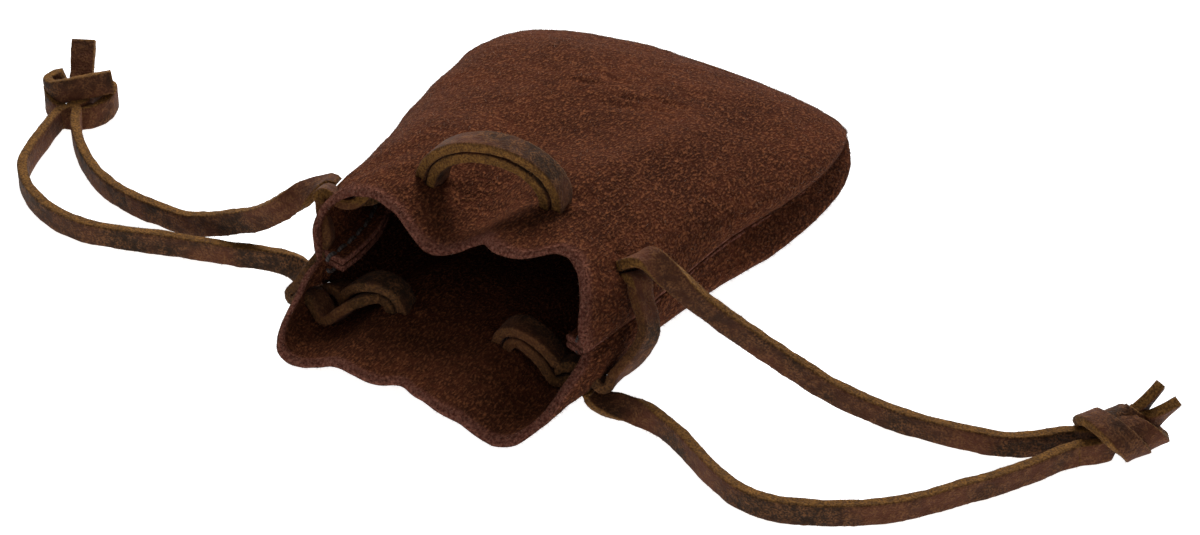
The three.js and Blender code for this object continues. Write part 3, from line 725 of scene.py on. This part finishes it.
left_stops = [
    *through_slit("front", f1, -1, TAIL_DEEP, True),
    *span("front", "inner", f1, TAIL_DEEP, f2, NEAR_OUTSIDE),
    *through_slit("front", f2, 1, NEAR_OUTSIDE, True)[::-1],
    *arch(1),
    *through_slit("front", f3, -1, NEAR_OUTSIDE, True),
    *span("front", "inner", f3, NEAR_OUTSIDE, f4, NEAR_OUTSIDE),
    *through_slit("front", f4, 1, NEAR_OUTSIDE)[::-1],
    *over_seam("right", NEAR_OUTSIDE),
    *through_slit("back", b4, 1, NEAR_OUTSIDE),
    *span("back", "inner", b4, NEAR_OUTSIDE, b3, NEAR_OUTSIDE),
    *through_slit("back", b3, -1, NEAR_OUTSIDE)[::-1],
    *span("back", "outer", b3, NEAR_OUTSIDE, b2, NEAR_OUTSIDE),
    *through_slit("back", b2, 1, NEAR_OUTSIDE),
    *span("back", "inner", b2, NEAR_OUTSIDE, b1, TAIL_ABREAST),
    *through_slit("back", b1, -1, TAIL_ABREAST, True)[::-1],
]
for edge, stops, seed in (("right", right_stops, 51), ("left", left_stops, 52)):
    parts = strip(stops, LACE_WIDTH, LACE_THICKNESS, seed, step=0.0006)
    for verts, _, cut, _ in parts:
        # Painted shade: below the arch the cut edges keep only a share of their golden colour.
        cut *= np.where(verts[:, 2] > GOLDEN_EDGE_ABOVE, 1.0, SHADED_EDGE_SHARE)
    loop = piece(f"{edge}_lace_threaded", parts, LACE)
    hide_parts(f"{edge}_cord_loop")
    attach(loop, "pouch")

# ---- The two suede panels ------------------------------------------------------------------------
# Brown split suede with a short nap on both faces. The panels are sewn face to face and turned, so
# their edges roll inwards at the seam, and the mouth and the slits are left as cut.
ACROSS = 200
ALONG = 150
STATIONS = len(FLOOR_Y) - 1
LIP = {
    "front": [0.52, 0.5, 0.47, 0.47, 0.5, 0.5, 0.45, 0.36, 0.34, 0.42, 0.52, 0.45, 0.2, 0.2, 0.5, 0.5, 0.38,
              0.34, 0.36, 0.42, 0.5],
    "back": [0.52, 0.38, 0.12, -0.2, -0.32, -0.18, -0.08, -0.26, -0.46, -0.41, -0.17, -0.34, -0.47, -0.45,
             -0.23, -0.05, 0.1, 0.24, 0.36, 0.44, 0.5],
}
ROLLED_BASE = 0.0012
TUCK = 0.0045
CROWDED_TO_MOUTH = 1.15
FIBRE_COUNT = 13000
SLIT_EASE = 1.04
CUTTER_CORNERS = 28
# Soft ridges and creases of the front panel: from, to, height and half-width, in millimetres.
FOLDS = [
    ((14, -19), (20, 22), 1.3, 4.6),
    ((-14, -18), (-33, 2), 0.5, 5.0),
    ((13, -27), (22, -33), 0.5, 3.0),
    ((-12, 20.8), (-4.5, 22.6), -0.8, 0.8),
    ((-9, 27.5), (-1, 26.4), -0.35, 0.6),
    ((-1, 20.7), (6, 22.3), -0.9, 0.8),
    ((5, 24.6), (14.4, 25.8), -0.8, 0.8),
    ((-3, 16.5), (8, 18.2), -0.9, 1.8),
    ((7, 20.2), (13, 22.2), -0.4, 0.6),
    ((-20, 22), (-14, 24), -0.3, 0.8),
    ((-26, -30), (-20, -14), -0.7, 3.0),
]


def relief(side, points, u, t):
    """How far the sewn panel stands out from its plain form."""
    flat = points.reshape(-1, 3)
    height = grain(flat, 38, 1) * 0.0009 + grain(flat, 120, 2) * 0.00035 + grain(flat, 420, 3) * 0.00012
    height = height.reshape(u.shape)
    for place in SLITS[side]:
        at, _, _, _ = panel_frame(side, place)
        offset = points - at
        away = np.linalg.norm(offset, axis=-1)
        turn = np.arctan2(offset[..., 1], offset[..., 0])
        height = height + np.exp(-(away / 0.007) ** 2) * (0.0004 * np.cos(5 * turn + place * 9) - 0.0004)
    if side == "back":
        return height * smooth_step(points[..., 2] / 0.004)
    x = points[..., 0] / MILLIMETRE
    y = points[..., 1] / MILLIMETRE
    for (x0, y0), (x1, y1), rise, half_width in FOLDS:
        along = (x - x0) * (x1 - x0) + (y - y0) * (y1 - y0)
        share = np.clip(along / ((x1 - x0) ** 2 + (y1 - y0) ** 2), 0, 1)
        off = np.hypot(x - x0 - share * (x1 - x0), y - y0 - share * (y1 - y0))
        fading = np.sin(np.pi * (0.1 + 0.8 * share))
        height = height + rise * MILLIMETRE * np.exp(-(off / half_width) ** 2) * fading
    arch_hollow = np.exp(-((x / 7) ** 2) - ((y + 27) / 7) ** 2)
    height = height - 0.0012 * arch_hollow
    return height


def held_in(t):
    """How strongly the right side is tucked in, along the seam."""
    return smooth_step((t - 1.8) / 2.2) * smooth_step((7.4 - t) / 1.2)


def panel_faces(side):
    """The outer and inner faces of a panel as two grids of points, with the rolled seam and the folds."""
    u, v = np.meshgrid(np.linspace(0, 1, ACROSS + 1), np.linspace(0, 1, ALONG + 1) ** CROWDED_TO_MOUTH)
    lip = between(LIP[side], u * (len(LIP[side]) - 1))
    t = lip + v * (STATIONS - lip)
    outer = panel_point(side, u, t)
    inner = panel_point(side, u, t, LEATHER)
    du = np.gradient(outer, axis=1)
    dt = np.gradient(outer, axis=0)
    normal = np.cross(du, dt)
    normal /= np.maximum(np.linalg.norm(normal, axis=-1), 1e-12)[..., None]
    if side == "back":
        normal = -normal
    lift = relief(side, outer, u, t) * smooth_step(np.sin(np.pi * u) * 5) * smooth_step((STATIONS - t) * 1.5)
    outer = outer + normal * lift[..., None]
    inner = inner + normal * lift[..., None]
    seam_height = between(SEAM, t) * POUCH_HEIGHT
    from_seam = np.abs(outer[..., 2] - seam_height)
    near_edge = (np.abs(u - 0.5) > 0.4)
    roll = 0.0008 * np.exp(-(from_seam / 0.0011) ** 2) * near_edge
    outer[..., 0] -= np.sign(outer[..., 0]) * roll
    base = np.clip((t - STATIONS + 0.4) / 0.4, 0, 1)
    sink = ROLLED_BASE * (1 - np.sqrt(1 - base ** 2))
    outer[..., 2] += sink if side == "back" else -sink
    tuck_from = 0.84 if side == "front" else 0.86
    tuck = TUCK * held_in(t) * smooth_step((u - tuck_from) / (1 - tuck_from))
    inwards = pinch(outer, u, t) - tuck
    wavy = grain(outer.reshape(-1, 3), 170, 8).reshape(u.shape) * 0.0008 * np.exp(-((t - lip) / 0.25) ** 2)
    for face in (outer, inner):
        face[..., 0] += inwards
        face[..., 1] += wavy
    return outer, inner


def panel_shell(side):
    """A closed shell from the two faces, with a rounded cut edge round it."""
    outer, inner = panel_faces(side)
    rows = ALONG + 1
    columns = ACROSS + 1
    rim = [(j, 0) for j in range(rows)] + [(ALONG, i) for i in range(1, columns)]
    rim += [(j, ACROSS) for j in range(ALONG - 1, -1, -1)] + [(0, i) for i in range(ACROSS - 1, 0, -1)]
    layer = rows * columns
    middle = np.array([(outer[j, i] + inner[j, i]) / 2 for j, i in rim])
    middle += np.array([(0, -0.0002, 0) if j == 0 else (0, 0, 0) for j, i in rim])
    verts = np.concatenate([outer.reshape(-1, 3), inner.reshape(-1, 3), middle])
    faces = []
    for j in range(ALONG):
        for i in range(ACROSS):
            a = j * columns + i
            faces.append((a, a + 1, a + columns + 1, a + columns))
            faces.append((layer + a, layer + a + columns, layer + a + columns + 1, layer + a + 1))
    for k, (j, i) in enumerate(rim):
        nj, ni = rim[(k + 1) % len(rim)]
        a = j * columns + i
        b = nj * columns + ni
        m = 2 * layer + k
        n = 2 * layer + (k + 1) % len(rim)
        faces.append((a, b, n, m))
        faces.append((m, n, layer + b, layer + a))
    if side == "back":
        faces = [face[::-1] for face in faces]
    v = np.repeat(np.linspace(0, 1, rows) ** CROWDED_TO_MOUTH, columns)
    near_rim = np.exp(-(v / 0.009) ** 2) * 0.75
    cut = np.concatenate([near_rim, near_rim, np.ones(len(rim))])
    return verts, faces, cut, np.zeros(len(verts))


def slit_cutter(side, u, opening, length):
    """The cutter for one slit, square to the panel, with rounded ends."""
    at, across, along, out = panel_frame(side, u)
    corners = []
    count = CUTTER_CORNERS
    for k in range(count):
        angle = 2 * math.pi * k / count
        c = math.cos(angle)
        s = math.sin(angle)
        r = (abs(c) ** 4 + abs(s) ** 4) ** -0.25
        corners.append(across * (opening / 2 * r * c) + along * (length / 2 * r * s))
    low = [at - out * 0.005 + corner for corner in corners]
    high = [at + out * 0.004 + corner for corner in corners]
    faces = [(k, (k + 1) % count, count + (k + 1) % count, count + k) for k in range(count)]
    faces += [tuple(range(count - 1, -1, -1)), tuple(range(count, 2 * count))]
    if side == "back":
        faces = [face[::-1] for face in faces]
    return np.array(low + high), faces, np.ones(2 * count), np.zeros(2 * count)


def with_slits(side, shell, material):
    """The shell with its four slits cut through it."""
    sheet = piece("uncut_panel", [shell], material)
    for number, u in enumerate(SLITS[side]):
        abreast = number == 0
        opening = LACE_THICKNESS if abreast else PAIR_THICKNESS
        length = 2 * LACE_WIDTH + 2 * GAP if abreast else LACE_WIDTH
        shape = slit_cutter(side, u, opening * SLIT_EASE, length * SLIT_EASE)
        cutter = piece("slit_cutter", [shape], material)
        cut = sheet.modifiers.new(f"slit_{number}", "BOOLEAN")
        cut.operation = "DIFFERENCE"
        cut.solver = "EXACT"
        cut.object = cutter
    graph = bpy.context.evaluated_depsgraph_get()
    mesh = bpy.data.meshes.new_from_object(sheet.evaluated_get(graph))
    verts = np.array([v.co for v in mesh.vertices])
    faces = [tuple(face.vertices) for face in mesh.polygons]
    cut_share = np.zeros(len(verts), np.float32)
    if "cut" in mesh.attributes:
        mesh.attributes["cut"].data.foreach_get("value", cut_share)
    for modifier in list(sheet.modifiers):
        bpy.data.objects.remove(modifier.object)
    bpy.data.objects.remove(sheet)
    return verts, faces, cut_share.astype(float), np.zeros(len(verts))


def suede_material():
    """Napped split suede: mottled chocolate brown, streaked where the nap lies over, pinkish where cut."""
    material, start = new_material("brown_suede")
    place = start.node("ShaderNodeTexCoord", {}, {}, "Object")
    cut = attribute(start, "cut")
    pale = attribute(start, "pale")
    clouds = speckle(start, place, 60, 3.0, 0.35, 0.65)
    mottle = speckle(start, place, 520, 3.0, 0.36, 0.64)
    streaks = start.node("ShaderNodeVectorMath", {"operation": "MULTIPLY"},
                         {0: place, 1: (1.0, 0.4, 0.7)})
    nap_lie = speckle(start, streaks, 2600, 2.0, 0.42, 0.6)
    fine = speckle(start, place, 1900, 3.0, 0.36, 0.66)
    base = colour_mix(start, (0.047, 0.0125, 0.0056), (0.082, 0.0215, 0.0092), clouds)
    base = colour_mix(start, base, (0.013, 0.0038, 0.0019), mottle * 0.5)
    base = colour_mix(start, base, (0.215, 0.074, 0.030), nap_lie * fine * 0.95)
    raw = colour_mix(start, (0.090, 0.026, 0.018), (0.270, 0.110, 0.078), fine)
    colour = colour_mix(start, base, raw, cut * 0.85)
    colour = colour_mix(start, colour, (0.40, 0.27, 0.20), pale)
    height = nap_lie * 0.45 + mottle * 0.35 + fine * 0.2
    bump = start.node("ShaderNodeBump", {}, {"Height": height, "Strength": 0.9, "Distance": 0.0006})
    shader = start.node("ShaderNodeBsdfPrincipled", {}, {
        "Base Color": colour, "Roughness": 0.95, "Normal": bump, "Specular IOR Level": 0.04,
        "Sheen Weight": 0.03, "Sheen Roughness": 0.6, "Sheen Tint": (0.9, 0.45, 0.3, 1)})
    start.node("ShaderNodeOutputMaterial", {}, {"Surface": shader})
    return material


def nap(side, seed, count):
    """Loose fibres on the outer face and along the cut mouth of a panel."""
    rng = np.random.default_rng(seed)
    u = rng.random(count)
    v = rng.random(count)
    outer, inner = panel_faces(side)
    i = (u * ACROSS).astype(int)
    j = (v ** (1 / CROWDED_TO_MOUTH) * ALONG).astype(int)
    roots = outer[j, i]
    outwards = outer[j, i] - inner[j, i]
    outwards /= np.maximum(np.linalg.norm(outwards, axis=1), 1e-9)[:, None]
    high = roots[:, 2] > 0.001
    rim = rng.integers(0, ACROSS + 1, count // 5)
    rim_roots = outer[0, rim] + (inner[0, rim] - outer[0, rim]) * rng.random((len(rim), 1))
    rim_ways = np.tile([0.0, -1.0, 0.2], (len(rim), 1))
    return [fibres(rng, roots[high], outwards[high] + 0.3, 0.001, 0.00003, 0.06),
            fibres(rng, rim_roots, rim_ways, 0.0007, 0.00003, 0.1)]


SUEDE = suede_material()
for number, side in enumerate(("front", "back")):
    shell = with_slits(side, panel_shell(side), SUEDE)
    panel = piece(f"{side}_suede_panel", [shell, *nap(side, 71 + number, FIBRE_COUNT)], SUEDE)
    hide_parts(f"{side}_panel")
    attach(panel, "pouch")

# ---- The seam ------------------------------------------------------------------------------------
# A narrow turning of each panel lies inside along the side and base seams, and one dark thread is
# lockstitched through both turnings, from one end of the mouth round to the other.
TURNING = 0.0055
STITCH_LENGTH = 0.0024
STITCH_PITCH = 0.003
THREAD = 0.0004
THREAD_INSET = 0.0036


def seam_line(inset):
    """The seam from the left end of the mouth round the base to the right end, moved inwards."""
    t = np.linspace(LIP["front"][0], STATIONS, 60)
    left = panel_point("front", np.zeros(60), t)
    left[:, 0] += pinch(left, np.zeros(60), t)
    base = panel_point("front", np.linspace(0, 1, 80)[1:-1], np.full(78, float(STATIONS)))
    right = panel_point("front", np.ones(60), t[::-1])
    right[:, 0] -= TUCK * held_in(t[::-1])
    line = np.concatenate([left, base, right])
    heights = np.concatenate([between(SEAM, t), np.full(78, SEAM[-1]), between(SEAM, t[::-1])])
    line[:, 2] = heights * POUCH_HEIGHT
    for _ in range(6):
        line[1:-1] = (line[:-2] + 2 * line[1:-1] + line[2:]) / 4
    way = np.gradient(line, axis=0)
    way[:, 2] = 0
    way /= np.linalg.norm(way, axis=1)[:, None]
    inwards = np.stack([way[:, 1], -way[:, 0], np.zeros(len(way))], axis=1)
    return line + inwards * inset, inwards


line, inwards = seam_line(0.0006 + TURNING / 2)
for side, sign, seed in (("front", 1, 81), ("back", -1, 82)):
    ply = line + UPRIGHT * sign * (GAP / 2 + LEATHER / 2)
    stops = [(ply[k], inwards[k]) for k in range(1, len(ply), 2)]
    turning = piece(f"{side}_seam_turning", strip(stops, TURNING, LEATHER, seed, fuzz=3000), SUEDE)
    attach(turning, "pouch")


def thread_material():
    material, start = new_material("dark_thread")
    place = start.node("ShaderNodeTexCoord", {}, {}, "Object")
    strands = start.node("ShaderNodeTexWave", {"bands_direction": "DIAGONAL"},
                         {"Vector": place, "Scale": 700.0, "Distortion": 1.5})
    colour = colour_mix(start, (0.012, 0.008, 0.007), (0.060, 0.042, 0.036), strands)
    bump = start.node("ShaderNodeBump", {}, {"Height": strands, "Strength": 0.6, "Distance": 0.0001})
    shader = start.node("ShaderNodeBsdfPrincipled", {}, {
        "Base Color": colour, "Roughness": 0.6, "Normal": bump, "Specular IOR Level": 0.4})
    start.node("ShaderNodeOutputMaterial", {}, {"Surface": shader})
    return material


def stitches():
    """Short arched stitches on both turnings, with the thread sunk between them."""
    line, inwards = seam_line(THREAD_INSET)
    gaps = np.linalg.norm(np.diff(line, axis=0), axis=1)
    reach = np.concatenate([[0], np.cumsum(gaps)])
    parts = []
    for k in range(int(reach[-1] / STITCH_PITCH)):
        centre = (k + 0.6) * STITCH_PITCH
        for sign in (1, -1):
            stops = []
            for q in np.linspace(-1, 1, 7):
                s = centre + q * STITCH_LENGTH / 2
                at = np.array([np.interp(s, reach, line[:, axis]) for axis in range(3)])
                lift = GAP / 2 + LEATHER + THREAD * (0.9 - 2.2 * q ** 4)
                inward = np.array([np.interp(s, reach, inwards[:, axis]) for axis in range(3)])
                stops.append((at + UPRIGHT * sign * lift, inward))
            parts += strip(stops, THREAD * 2, THREAD * 1.8, 91, step=0.0004, rough=0.00002, fuzz=0)
    return parts


seam = piece("seam_stitches", stitches(), thread_material())
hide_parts("seam_thread")
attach(seam, "pouch")
